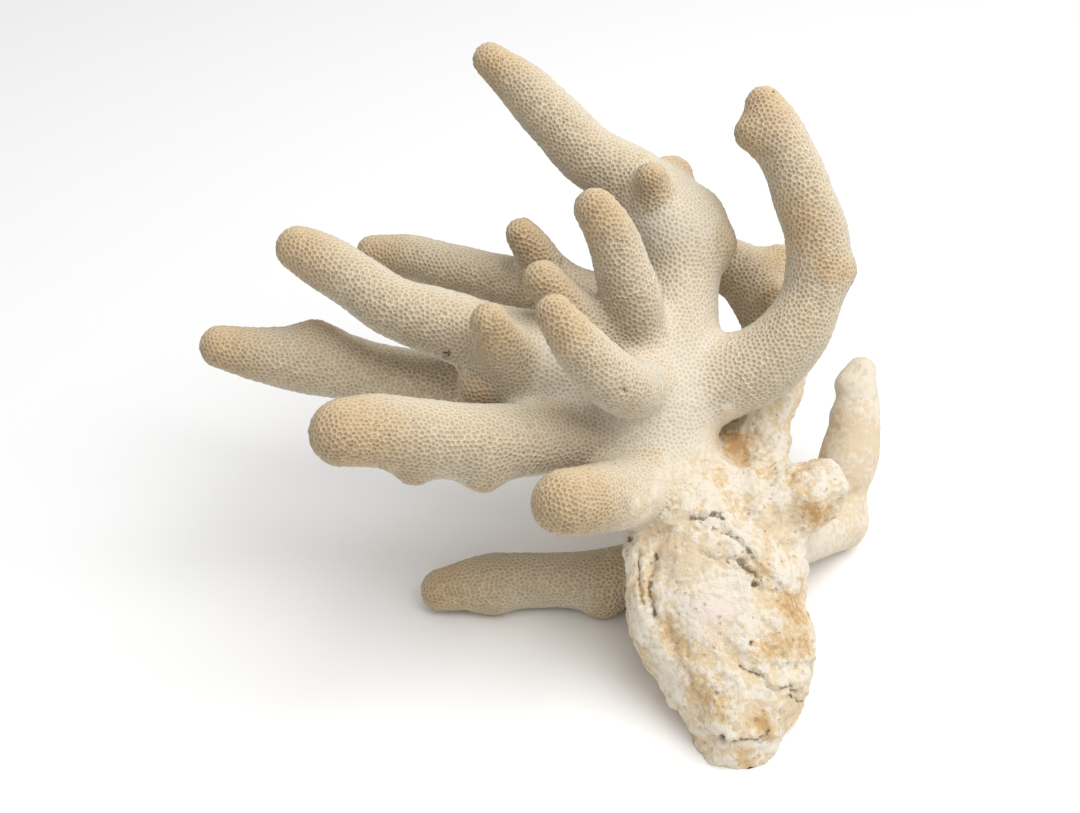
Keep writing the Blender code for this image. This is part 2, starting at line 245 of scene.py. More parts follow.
@dataclass(frozen=True)
class CoralShape:
    """All limbs of the coral, and how they melt into each other. Lumps are a reach and a height."""

    fillet: float = 2.2
    pitted_lump: tuple[float, float] = (15.0, 0.45)
    worn_lump: tuple[float, float] = (11.0, 1.7)
    limbs: tuple[Limb, ...] = (
        # The stump, dead and worn: two thick runs side by side that taper to the broken end
        Limb("stump", ((7, -12, 3, 15), (16, -28, -2, 19), (16, -48, -6, 20), (20, -62, -11, 17.5),
            (26, -75, -17, 14), (27.5, -86.5, -20, 10)), Age.WORN),
        Limb("stump", ((25, -15, 4, 13), (28.5, -30, 2, 20), (29.5, -48, -3, 20), (35, -62, -9, 17),
            (35.5, -74, -15, 13), (30, -86, -19, 10)), Age.WORN),
        # The knob on the stump's right shoulder
        Limb("stump", ((36, -19, 4, 12), (44, -15.5, -1, 10.3), (51.5, -13, -3, 10)), Age.WORN),
        # The ridge down the stump's left flank
        Limb("stump", ((1, -33, -12, 5), (1.2, -43, -17, 5), (3, -54, -17, 4.6)), Age.WORN),
        # The trunk, from the top of the stump to where the tall finger leans away
        Limb("trunk", ((10, -5, 3, 13.5), (6, 6, 4, 15.5), (8, 20, 4, 15), (9.5, 31, 4, 13.5),
            (11.5, 46, 6, 11.8), (12, 58, 8, 12), (10.5, 66.5, 9, 12.3)), runs_on=True),
        Limb("trunk", ((12, 66, 8, 10), (17, 70, 9, 7.5))),
        Limb("trunk", ((13, 60, 8, 9), (21.8, 61.5, 6, 7))),
        Limb("trunk", ((4.5, 73, 3, 6), (3.5, 81.5, -5, 4.8))),
        Limb("trunk", ((9, 71, 12, 8), (9.5, 82, 18, 6.3))),
        # The bough that leaves the trunk to the left and carries the left fingers
        Limb("trunk", ((6, 12, 2, 15), (-6, 14, -2, 14.5), (-20, 20.5, -3, 14), (-30, 26.5, -5, 13.3)),
            runs_on=True),
        Limb("trunk", ((-12, 14, -1, 12), (-26, 16, 3, 11.5), (-36, 17, 7, 11)), runs_on=True),
        # Three short knuckles that the bough turns towards the eye
        Limb("trunk", ((0, 27, 0, 11), (-13, 34, -9, 8), (-21.5, 43, -16, 7), (-29, 51, -22, 6.2))),
        Limb("trunk", ((-35, 22, -5, 9.5), (-39.5, 28.5, -17, 8.2), (-43, 34, -24, 7.2),
            (-45.2, 38.5, -28, 6))),
        Limb("trunk", ((-32, 19.5, -1, 9), (-42, 20, -7, 7.3), (-48.5, 18.8, -11, 6.2))),
        Limb("tall_finger", ((10.5, 66.5, 9, 12), (-2, 80, 10, 10.3), (-15.5, 88.5, 10, 9.4),
            (-25.3, 98.4, 10, 8.6), (-34.7, 108.2, 10, 7.6), (-45, 116.8, 10, 5.4))),
        Limb("hooked_finger", ((10, 18, 4, 14), (25, 21.5, 0, 12.5), (37.5, 27, -3, 11.6),
            (46.8, 36, -6, 10.5), (51.8, 47, -8, 9.1), (53.2, 57, -9, 9), (52.6, 66, -10, 9.4),
            (49, 76, -11, 9), (45, 87, -12, 8.5), (39.5, 97.5, -12, 7.6), (37, 103.5, -12, 5.7))),
        Limb("hooked_finger", ((39, 94, -12, 6), (33.2, 95, -13, 4.8))),
        Limb("hooked_finger", ((55, 54, -9, 7), (60, 54, -9, 4.2))),
        Limb("upright_finger", ((3, 28, 0, 10), (-1, 36, -8, 8.2), (-2, 45, -15, 8.6), (-5.5, 55, -20, 8.4),
            (-9, 65, -24, 7.8), (-13.5, 72.3, -27, 6.6))),
        Limb("front_finger", ((3.5, 19.5, -2, 10.5), (-0.5, 19, -15, 8.7), (-3.6, 18.3, -28, 9.3),
            (-7, 20, -33, 9.3), (-13, 25.5, -38, 8.7), (-20, 33.5, -42, 7.6), (-25.5, 41, -44, 6.2))),
        Limb("upper_left_finger", ((-30, 26.5, -5, 13.3), (-45, 33, -8, 11.3), (-60, 38.3, -9, 10.2),
            (-74.2, 43, -9, 9.3), (-84, 49.6, -8, 8.8), (-98.3, 58.2, -6, 7.9), (-102.5, 60.3, -6, 6.8))),
        Limb("far_left_finger", ((-36, 17, 7, 11), (-50, 18.5, 12, 10), (-65, 20.3, 14, 9.5),
            (-80, 23, 14, 9.5), (-97, 26.6, 12, 10.1), (-113, 28.6, 10, 8.5), (-125.5, 30.8, 8, 6.6))),
        Limb("far_left_finger", ((-96, 29, 11, 8), (-97.5, 33.6, 11, 4.8))),
        Limb("lower_left_finger", ((-6, 6.5, -2, 12.5), (-22, 4.5, -12, 10.8), (-35, 2.8, -20, 11),
            (-50, 2.5, -27, 11.3), (-65, 3.8, -33, 11.4), (-80, 5.8, -38, 10.9), (-89, 5.3, -42, 10.4))),
        Limb("lower_left_finger", ((-67, -1, -33, 6), (-68, -6.3, -33, 4))),
        Limb("lower_left_finger", ((-47, 0, -26, 8), (-47, -6.5, -26, 5.8))),
        Limb("rear_left_finger", ((9, 42, 10, 10), (-2, 43.6, 20, 8.5), (-18, 46, 28, 8.2),
            (-32, 48.9, 33, 8), (-45, 51.9, 38, 7.4), (-60, 55.4, 44, 7.3), (-70, 58, 48, 6.9),
            (-79.3, 58.7, 51, 5.9))),
        Limb("rear_short_finger", ((-26, 50, 31, 6.8), (-29.5, 55.5, 25, 6.8), (-32, 60, 21, 6.2),
            (-35.5, 64.8, 18, 4.9))),
        Limb("resting_finger", ((20, -30, 12, 12), (4, -35, 20, 9.5), (-12, -38.6, 21, 8.4),
            (-25, -39, 21, 8.3), (-38, -39.2, 21, 8), (-50, -40.2, 20, 7.7), (-59.3, -42, 20, 6.7))),
        Limb("resting_finger", ((-44, -40, 20, 6), (-44, -44, 19.5, 4.7))),
        Limb("resting_finger", ((-11, -40, 20, 7), (-11, -44.5, 19.5, 5.6))),
        Limb("thumb", ((6, -4, 0, 12.5), (-2, -11.5, -12, 11), (-8, -13.8, -22, 10.8),
            (-16, -15, -32, 10.6), (-22.3, -15.8, -37, 10.3))),
        # The second stem rises behind the trunk and carries the rear right finger
        Limb("back_stem", ((34, -20, 6, 11), (34.5, -3, 12, 8.3), (37.5, 10, 18, 8), (41.5, 20, 24, 8),
            (42.5, 31, 30, 8.5)), Age.WORN, runs_on=True),
        # The wall at the back of the hollow between the two stems
        Limb("stump", ((14, -6, 14, 9), (24, -4, 17, 8), (33, -6, 15, 7)), Age.WORN),
        Limb("stump", ((34.5, -1, 14, 8), (28.5, 5.5, 22, 6.5)), Age.WORN),
        Limb("rear_right_finger", ((42.5, 31, 30, 8.5), (38.5, 42, 34, 9.2), (33, 51, 37, 8.8),
            (24, 56.5, 40, 8), (16, 59, 42, 6.5))),
        Limb("rear_right_finger", ((36, 50, 36, 8), (42, 55, 38, 6.8))),
        Limb("rear_right_finger", ((39, 44, 30, 6), (40, 45.5, 25.5, 4.2))),
        # The right finger springs from a second knob low on the stump
        Limb("right_finger", ((38, -26, 10, 10.5), (47, -25.5, 20, 9), (54, -24, 30, 8),
            (60, -22, 41, 7.5)), Age.RUBBED, runs_on=True),
        Limb("right_finger", ((60, -20, 41, 7), (60.7, -11, 41, 7.2), (62, -3.4, 41, 8.8),
            (64.3, 5, 41, 7.8), (64.6, 9.5, 41, 7.4), (66.1, 14.4, 41, 5.6), (65.4, 19.3, 41, 5),
            (66.4, 24, 41, 4.2)), Age.RUBBED),
        Limb("right_finger", ((64, 19, 41, 4), (62.4, 19.5, 40, 3.2)), Age.RUBBED),
        # Two fingers behind, which the front of the coral hides
        Limb("rear_low_finger", ((6, 18, 8, 11), (4, 15, 24, 9.5), (3, 7, 42, 9), (3, -1.5, 57, 8.4),
            (3, -5, 66, 7))),
        Limb("rear_mid_finger", ((10, 32, 8, 11), (13, 33.5, 28, 9), (14, 33.5, 46, 8), (13, 32.5, 60, 7),
            (12, 32, 66, 5.5))),
    )

    def nodes(self) -> list[str]:
        """The names of the nodes, each once."""
        return list(dict.fromkeys(limb.node for limb in self.limbs))


@dataclass
class Reading:
    """What the skin says at some points.

    The distance outside it and the way out, how much of it there is worn to chalk or bare of pits, how many
    limbs crowd together, and how near a fingertip and how far down from it the point is, each from 0 to 1.
    """

    distance: np.ndarray
    way: np.ndarray
    worn: np.ndarray
    bare: np.ndarray
    crowd: np.ndarray
    tip: np.ndarray
    down: np.ndarray


@dataclass
class Skin:
    """The coral's blended surface, as a distance that can be asked for anywhere, sizes in millimetres."""

    shape: CoralShape
    reach: float = 14.0
    tip_reach: float = 11.0
    down_reach: float = 38.0
    least_square: float = 0.25

    def __post_init__(self) -> None:
        """Works out every limb's line of balls."""
        self.lines = [limb.line() for limb in self.shape.limbs]

    def one_limb(self, points: np.ndarray, line: np.ndarray) -> tuple[np.ndarray, np.ndarray]:
        """Measures one limb.

        Args:
            points: rows of x, y and z.
            line: the limb's balls.

        Returns:
            Each point's distance to the limb's surface, and the unit direction away from its middle.
        """
        start, run = line[:-1], np.diff(line, axis=0)
        square = (run[:, :3] ** 2).sum(axis=1)
        along = (points @ run[:, :3].T - (start[:, :3] * run[:, :3]).sum(axis=1)) / square
        t = np.clip(along, 0, 1)
        middle = start[None, :, :3] + t[..., None] * run[None, :, :3]
        gap = np.linalg.norm(points[:, None] - middle, axis=2)
        outside = gap - start[:, 3] - t * run[:, 3]
        nearest = outside.argmin(axis=1)
        rows = np.arange(len(points))
        out = points - middle[rows, nearest]
        return outside[rows, nearest], out / np.maximum(gap[rows, nearest], TINY)[:, None]

    def marks(self, points: np.ndarray, limb: Limb, tip: np.ndarray) -> np.ndarray:
        """Tells what a limb would say of some points by itself.

        Args:
            points: rows of x, y and z.
            limb: the limb.
            tip: its last ball.

        Returns:
            Rows of how worn and bare it is, and how near its tip and how far down from it each point is.
        """
        gap = np.maximum(np.linalg.norm(points - tip[:3], axis=1) - tip[3], 0)
        if limb.runs_on:
            gap[:] = FAR
        return np.column_stack((
            np.full(len(points), limb.age is Age.WORN),
            np.full(len(points), limb.age is not Age.PITTED),
            np.exp(-gap / self.tip_reach),
            1 - np.exp(-gap / self.down_reach),
        ))

    def read(self, points: np.ndarray) -> Reading:
        """Reads the skin; limbs too far away to matter at a point are passed over there.

        Args:
            points: rows of x, y and z.

        Returns:
            What the skin says at each point.
        """
        count = len(points)
        nearest = np.full(count, FAR)
        found = []
        for limb, line in zip(self.shape.limbs, self.lines):
            margin = line[:, 3].max() + self.reach
            low, high = line[:, :3].min(axis=0) - margin, line[:, :3].max(axis=0) + margin
            near = np.flatnonzero(((points > low) & (points < high)).all(axis=1))
            if not near.size:
                continue
            distance, way = self.one_limb(points[near], line)
            found.append((near, distance, np.hstack((way, self.marks(points[near], limb, line[-1])))))
            nearest[near] = np.minimum(nearest[near], distance)
        total = np.zeros(count)
        held = np.zeros((count, found[0][2].shape[1]))
        for near, distance, values in found:
            share = np.exp(-(distance - nearest[near]) / self.shape.fillet)
            total[near] += share
            held[near] += share[:, None] * values
        total = np.maximum(total, TINY)
        held /= total[:, None]
        worn, bare, tip, down = held[:, 3:].T
        (reach, height), (worn_reach, worn_height) = self.shape.pitted_lump, self.shape.worn_lump
        lump = (1 - worn) * (height * wavy(points, reach))
        lump += worn * (worn_height * wavy(points, worn_reach))
        blended = nearest - self.shape.fillet * np.log(total)
        return Reading(blended - lump, held[:, :3], worn, bare, np.log(total), tip, down)

    def settle(self, points: np.ndarray, rounds: int) -> np.ndarray:
        """Moves points onto the skin.

        Args:
            points: rows of x, y and z.
            rounds: how often they are moved, each time closer.

        Returns:
            The moved points.
        """
        for _ in range(rounds):
            reading = self.read(points)
            square = np.maximum((reading.way**2).sum(axis=1), self.least_square)
            points = points - (reading.distance / square)[:, None] * reading.way
        return points


def stripped_mesh(obj: bpy.types.Object) -> bpy.types.Mesh:
    """Turns an object with modifiers into its plain mesh.

    Args:
        obj: the object, which is removed with its own mesh.

    Returns:
        Its evaluated shape.
    """
    graph = bpy.context.evaluated_depsgraph_get()
    mesh = bpy.data.meshes.new_from_object(obj.evaluated_get(graph))
    old = obj.data
    obj.modifiers.clear()
    bpy.data.objects.remove(obj)
    bpy.data.meshes.remove(old)
    return mesh


@dataclass
class PitNet:
    """An even net of triangles on the skin, whose points are the middles of the pits.

    Lengths are in millimetres; the longest and shortest edges are shares of the spacing.
    """

    skin: Skin
    spacing: float = 1.75
    voxel: float = 1.6
    longest: float = 1.36
    shortest: float = 0.72
    jitter: float = 0.25
    kept: float = 0.8
    rounds: int = 4
    seed: int = 11
    bm: bmesh.types.BMesh = field(default_factory=bmesh.new)

    def swept(self) -> bpy.types.Object:
        """All limbs as rows of balls, wrapped in one skin of small squares."""
        balls = bmesh.new()
        for line in self.skin.lines:
            for x, y, z, radius in line:
                place = Matrix.Translation(Vector((x, y, z)) * MM)
                bmesh.ops.create_icosphere(balls, subdivisions=2, radius=radius * MM, matrix=place)
        mesh = bpy.data.meshes.new("swept balls")
        balls.to_mesh(mesh)
        balls.free()
        obj = placed("swept balls", mesh)
        wrap = obj.modifiers.new("even skin", "REMESH")
        wrap.mode = "VOXEL"
        wrap.voxel_size = self.voxel * MM
        thin = obj.modifiers.new("fewer points", "DECIMATE")
        thin.ratio = self.kept
        return obj

    def points(self) -> np.ndarray:
        """The net's points, in millimetres."""
        return np.array([v.co[:] for v in self.bm.verts])

    def move(self, points: np.ndarray) -> None:
        """Moves the net's points."""
        for vertex, point in zip(self.bm.verts, points):
            vertex.co = point

    def split_long(self) -> None:
        """Halves the edges that are too long."""
        limit = self.spacing * self.longest
        long = [e for e in self.bm.edges if e.calc_length() > limit]
        bmesh.ops.subdivide_edges(self.bm, edges=long, cuts=1)
        bmesh.ops.triangulate(self.bm, faces=[f for f in self.bm.faces if len(f.verts) > 3])

    def merge_short(self) -> None:
        """Draws the ends of short edges together, where that keeps the net one closed surface."""
        limit = self.spacing * self.shortest
        lengths = [(e.calc_length(), e.index, e) for e in self.bm.edges]
        taken: set[bmesh.types.BMVert] = set()
        chosen = []
        for length, _, edge in sorted(row for row in lengths if row[0] < limit):
            a, b = edge.verts
            around_a = {e.other_vert(a) for e in a.link_edges}
            around_b = {e.other_vert(b) for e in b.link_edges}
            around = around_a | around_b
            if len(around_a & around_b) != 2 or len(around) < 6 or around & taken:
                continue
            chosen.append(edge)
            taken |= around
        bmesh.ops.collapse(self.bm, edges=chosen)
        loose = [v for v in self.bm.verts if not v.link_faces]
        bmesh.ops.delete(self.bm, geom=loose, context="VERTS")

    def turn_edges(self) -> None:
        """Turns edges across their two triangles where that makes rounder ones."""
        bmesh.ops.beautify_fill(self.bm, faces=self.bm.faces[:], edges=self.bm.edges[:], method="ANGLE")

    def relax(self, times: int) -> None:
        """Draws each point to the middle of the triangles round it, and back onto the skin.

        Args:
            times: how often.
        """
        for _ in range(times):
            self.bm.verts.index_update()
            points = self.points()
            faces = np.array([[v.index for v in face.verts] for face in self.bm.faces])
            corners = points[faces]
            middle = corners.mean(axis=1)
            across = np.cross(corners[:, 1] - corners[:, 0], corners[:, 2] - corners[:, 0])
            area = np.linalg.norm(across, axis=1)
            weights = [area, *(area * middle[:, k] for k in range(3))]
            total, *pulls = (np.bincount(faces.ravel(), np.repeat(w, 3), len(points)) for w in weights)
            drawn = np.stack(pulls, axis=1) / np.maximum(total, TINY)[:, None]
            self.move(self.skin.settle(np.where(total[:, None] > 0, drawn, points), rounds=1))

    def weave(self) -> None:
        """Makes the net: wrapped, settled, shaken up and evened out."""
        mesh = stripped_mesh(self.swept())
        self.bm.from_mesh(mesh)
        bpy.data.meshes.remove(mesh)
        shaken = np.random.default_rng(self.seed).uniform(-1, 1, (len(self.bm.verts), 3))
        start = self.skin.settle(self.points() / MM, rounds=3)
        self.move(self.skin.settle(start + shaken * self.jitter * self.voxel, rounds=1))
        bmesh.ops.triangulate(self.bm, faces=self.bm.faces[:])
        for _ in range(self.rounds):
            self.split_long()
            self.merge_short()
            self.turn_edges()
            self.relax(times=2)
        self.turn_edges()
        self.relax(times=1)
        self.move(self.skin.settle(self.points(), rounds=1))
        flaws = sum(len(e.link_faces) != 2 for e in self.bm.edges)
        LOG.info("net of %d points, %d flawed edges", len(self.bm.verts), flaws)


class Partition:
    """Says which node each point of the net belongs to: the one whose solid is nearest."""

    def __init__(self, nodes: Sequence[str], net: PitNet) -> None:
        """Notes the net's points, which of them are joined, and every node's solid.

        Args:
            nodes: the nodes' names.
            net: the finished net.
        """
        self.points = net.points()
        net.bm.verts.index_update()
        self.edges = np.array([[v.index for v in edge.verts] for edge in net.bm.edges])
        corners: list[Vector] = []
        faces: list[list[int]] = []
        self.owner_of_face: list[int] = []
        for number, node in enumerate(nodes):
            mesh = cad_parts[node].data
            faces += [[len(corners) + i for i in face.vertices] for face in mesh.polygons]
            self.owner_of_face += [number] * len(mesh.polygons)
            corners += [v.co / MM for v in mesh.vertices]
        self.solids = BVHTree.FromPolygons(corners, faces)

    def owners(self) -> np.ndarray:
        """Finds the owners, and gives stray patches to what surrounds them.

        Returns:
            The number of the owning node for each point of the net.
        """
        nearest = [self.solids.find_nearest(point)[2] for point in self.points]
        owner = np.array([self.owner_of_face[face] for face in nearest])
        joined: list[list[int]] = [[] for _ in self.points]
        for a, b in self.edges[owner[self.edges[:, 0]] == owner[self.edges[:, 1]]]:
            joined[a].append(b)
            joined[b].append(a)
        for patch in self.strays(owner, joined):
            inside = np.isin(self.edges, patch)
            border = self.edges[inside.sum(axis=1) == 1]
            outer = np.where(np.isin(border[:, 0], patch), border[:, 1], border[:, 0])
            if len(outer):
                owner[patch] = np.bincount(owner[outer]).argmax()
        LOG.info("parted into %d", len(np.unique(owner)))
        return owner

    def strays(self, owner: np.ndarray, joined: list[list[int]]) -> list[list[int]]:
        """Finds the patches that don't hang together with the rest of what their owner has.

        Args:
            owner: the number of each point's owner.
            joined: the points that each point shares an edge and its owner with.

        Returns:
            All patches of points but the largest of each owner.
        """
        seen = np.zeros(len(owner), bool)
        patches: dict[int, list[list[int]]] = {}
        for start in range(len(owner)):
            if seen[start]:
                continue
            seen[start] = True
            patch, at = [start], 0
            while at < len(patch):
                for other in joined[patch[at]]:
                    if not seen[other]:
                        seen[other] = True
                        patch.append(other)
                at += 1
            patches.setdefault(int(owner[start]), []).append(patch)
        return [patch for group in patches.values() for patch in sorted(group, key=len)[:-1]]


class Builder:
    """A small maker of nodes for one node tree."""

    def __init__(self, tree: bpy.types.NodeTree) -> None:
        """Starts on an emptied tree."""
        self.tree = tree
        tree.nodes.clear()

    def node(self, kind: str, sockets: dict[Any, Any] | None = None, **settings: Any) -> Any:
        """Makes one node.

        Args:
            kind: the node's type.
            sockets: values or links for its inputs, by name or number.
            settings: its properties, which are set first.

        Returns:
            The node.
        """
        made = self.tree.nodes.new(kind)
        for name, value in settings.items():
            setattr(made, name, value)
        for name, value in (sockets or {}).items():
            self.feed(made.inputs[name], value)
        return made

    def feed(self, socket: Any, value: Any) -> None:
        """Gives an input a value or a link.

        Args:
            socket: the input.
            value: a number, a colour, a Field or another node's output.
        """
        value = value.socket if isinstance(value, Field) else value
        if isinstance(value, bpy.types.NodeSocket):
            self.tree.links.new(value, socket)
        else:
            socket.default_value = value


class Field:
    """A number that changes over the surface, for sums written as plain expressions."""

    def __init__(self, builder: Builder, socket: Any) -> None:
        """Wraps an output of a node."""
        self.builder = builder
        self.socket = socket

    def math(self, operation: str, first: Any, second: Any) -> Field:
        """One Math node on two numbers."""
        made = self.builder.node("ShaderNodeMath", {0: first, 1: second}, operation=operation)
        return Field(self.builder, made.outputs[0])

    def __add__(self, other: Any) -> Field:
        """self + other."""
        return self.math("ADD", self, other)

    __radd__ = __add__

    def __mul__(self, other: Any) -> Field:
        """self * other."""
        return self.math("MULTIPLY", self, other)

    __rmul__ = __mul__

    def __sub__(self, other: Any) -> Field:
        """self - other."""
        return self.math("SUBTRACT", self, other)

    def __rsub__(self, other: Any) -> Field:
        """other - self."""
        return self.math("SUBTRACT", other, self)

    def ramp(self, low: float, high: float) -> Field:
        """0 below low, 1 above high, and a smooth rise between them."""
        sockets = {"Value": self, "From Min": low, "From Max": high}
        made = self.builder.node("ShaderNodeMapRange", sockets, interpolation_type="SMOOTHSTEP")
        return Field(self.builder, made.outputs["Result"])


@dataclass(frozen=True)
class PitPattern:
    """Geometry Nodes that turn the net into pits with uneven walls between them, sizes in millimetres.

    A floor's width is its share of the cell. The fork sizes hold where the limbs meet.
    """

    floor: float = 0.66
    fork_floor: float = 0.5
    depth: float = 0.58
    fork_depth: float = 0.3
    ridge: float = 0.15
    uneven: float = 0.45
    seed: int = 5

    def values(self) -> dict[str, float]:
        """The named inputs' values, in metres where they are lengths."""
        return {
            "Floor": self.floor,
            "Fork floor": self.fork_floor,
            "Depth": self.depth * MM,
            "Fork depth": self.fork_depth * MM,
            "Ridge": self.ridge * MM,
            "Uneven": self.uneven,
        }

    def moved(self, build: Builder, geometry: Any, chosen: Any, out: Field) -> Any:
        """Moves points out along their normals.

        Args:
            build: the tree's maker.
            geometry: what is moved.
            chosen: which of its points are.
            out: how far, in metres.

        Returns:
            The geometry.
        """
        normal = build.node("GeometryNodeInputNormal").outputs["Normal"]
        away = build.node("ShaderNodeVectorMath", {0: normal, "Scale": out}, operation="SCALE")
        sockets = {"Geometry": geometry, "Selection": chosen, "Offset": away.outputs["Vector"]}
        return build.node("GeometryNodeSetPosition", sockets).outputs["Geometry"]

    def sunk(self, build: Builder, cells: Any, share: Field, drop: Field) -> Any:
        """Draws a floor inside each cell.

        Args:
            build: the tree's maker.
            cells: the cells' geometry.
            share: how wide a floor is, of its cell.
            drop: how far out it moves, below 0 where it sinks, in metres.

        Returns:
            The geometry, with 1 stored on the floors as "pit".
        """
        sockets = {"Mesh": cells, "Offset Scale": 0.0, "Individual": True}
        inner = build.node("GeometryNodeExtrudeMesh", sockets, mode="FACES")
        top = inner.outputs["Top"]
        sockets = {"Geometry": inner.outputs["Mesh"], "Selection": top, "Scale": share}
        scaled = build.node("GeometryNodeScaleElements", sockets, domain="FACE").outputs["Geometry"]
        floors = self.moved(build, scaled, top, drop)
        sockets = {"Geometry": floors, "Selection": top, "Name": "pit", "Value": 1.0}
        stored = build.node("GeometryNodeStoreNamedAttribute", sockets, data_type="FLOAT", domain="POINT")
        return stored.outputs["Geometry"]

    def held(self, build: Builder, name: str) -> Field:
        """A number that the net holds."""
        made = build.node("GeometryNodeInputNamedAttribute", {"Name": name}, data_type="FLOAT")
        return Field(build, made.outputs["Attribute"])

    def tree(self, finish: bpy.types.Material) -> bpy.types.NodeTree:
        """Builds the tree: hexagonal cells from the net, then a sunk floor in each, walls left between them.

        Args:
            finish: the pits' material.

        Returns:
            The tree.
        """
        tree = bpy.data.node_groups.new("pits", "GeometryNodeTree")
        face = tree.interface
        face.new_socket("Geometry", in_out="INPUT", socket_type="NodeSocketGeometry")
        for name in self.values():
            face.new_socket(name, in_out="INPUT", socket_type="NodeSocketFloat")
        face.new_socket("Geometry", in_out="OUTPUT", socket_type="NodeSocketGeometry")
        build = Builder(tree)
        given = build.node("NodeGroupInput").outputs
        cells = build.node("GeometryNodeDualMesh", {"Mesh": given["Geometry"]}).outputs[0]
        pitted, pale = (self.held(build, name) for name in ("pitted", "pale"))
        limits = {"Min": -1.0, "Max": 1.0, "Seed": self.seed}
        chance = build.node("FunctionNodeRandomValue", limits, data_type="FLOAT")
        lot = Field(build, next(s for s in chance.outputs if s.enabled))
        inputs = (Field(build, given[name]) for name in self.values())
        wide, fork_wide, deep, fork_deep, ridge, uneven = inputs
        share = wide + pale * (fork_wide - wide)
        drop = (deep + pale * (fork_deep - deep)) * pitted * (lot * uneven + 1.0) * -1.0
        floors = self.sunk(build, self.moved(build, cells, True, lot * ridge * pitted), share, drop)
        real = build.node("GeometryNodeRealizeInstances", {"Geometry": floors}).outputs[0]
        dressed = build.node("GeometryNodeSetMaterial", {"Geometry": real, "Material": finish}).outputs[0]
        build.node("NodeGroupOutput", {"Geometry": dressed})
        return tree

    def pitted(self, mesh: bpy.types.Mesh, finish: bpy.types.Material) -> bpy.types.Mesh:
        """Turns the net into a skin of pits.

        Args:
            mesh: the net, with its numbers.
            finish: the pits' material.

        Returns:
            The skin, as a plain mesh.
        """
        obj = placed("pit net", mesh)
        modifier = obj.modifiers.new("pits", "NODES")
        modifier.node_group = self.tree(finish)
        values = self.values()
        for item in modifier.node_group.interface.items_tree:
            if item.item_type == "SOCKET" and item.in_out == "INPUT" and item.name in values:
                modifier[item.identifier] = values[item.name]
        return stripped_mesh(obj)


def beside(seen: np.ndarray, path: Path) -> np.ndarray:
    """Measures how far places are from a path.

    Args:
        seen: rows that start with across and up.
        path: the path's corners.

    Returns:
        The distances, above 0 on the path's left and below 0 on its right.
    """
    found = np.full(len(seen), FAR)
    for a, b in zip(path, path[1:]):
        run = np.subtract(b, a).astype(float)
        off = seen[:, :2] - np.array(a, float)
        t = np.clip(off @ run / (run @ run), 0, 1)
        gap = np.linalg.norm(off - t[:, None] * run, axis=1)
        side = np.where(run[0] * off[:, 1] < run[1] * off[:, 0], -1.0, 1.0)
        found = np.where(gap < abs(found), gap * side, found)
    return found


@dataclass(frozen=True)
class Furrow:
    """A furrow or crack in the worn skin, along a path as seen, sizes in millimetres. A dark one gets painted
    shade along its core.
    """

    path: Path
    depth: float
    width: float
    dark: bool = True


@dataclass(frozen=True)
class Ledge:
    """A layer of worn skin that stands over the skin on its path's right and runs out on its left."""

    path: Path
    lift: float
    reach: float
    edge: float = 0.9


@dataclass(frozen=True)
class Hole:
    """A small hole, where it is seen, sizes in millimetres. It is painted dark as shade inside it."""

    across: float
    up: float
    radius: float
    depth: float


@dataclass(frozen=True)
class Stain:
    """A round patch, where it is seen, with its strength in the middle."""

    across: float
    up: float
    radius: float
    strength: float


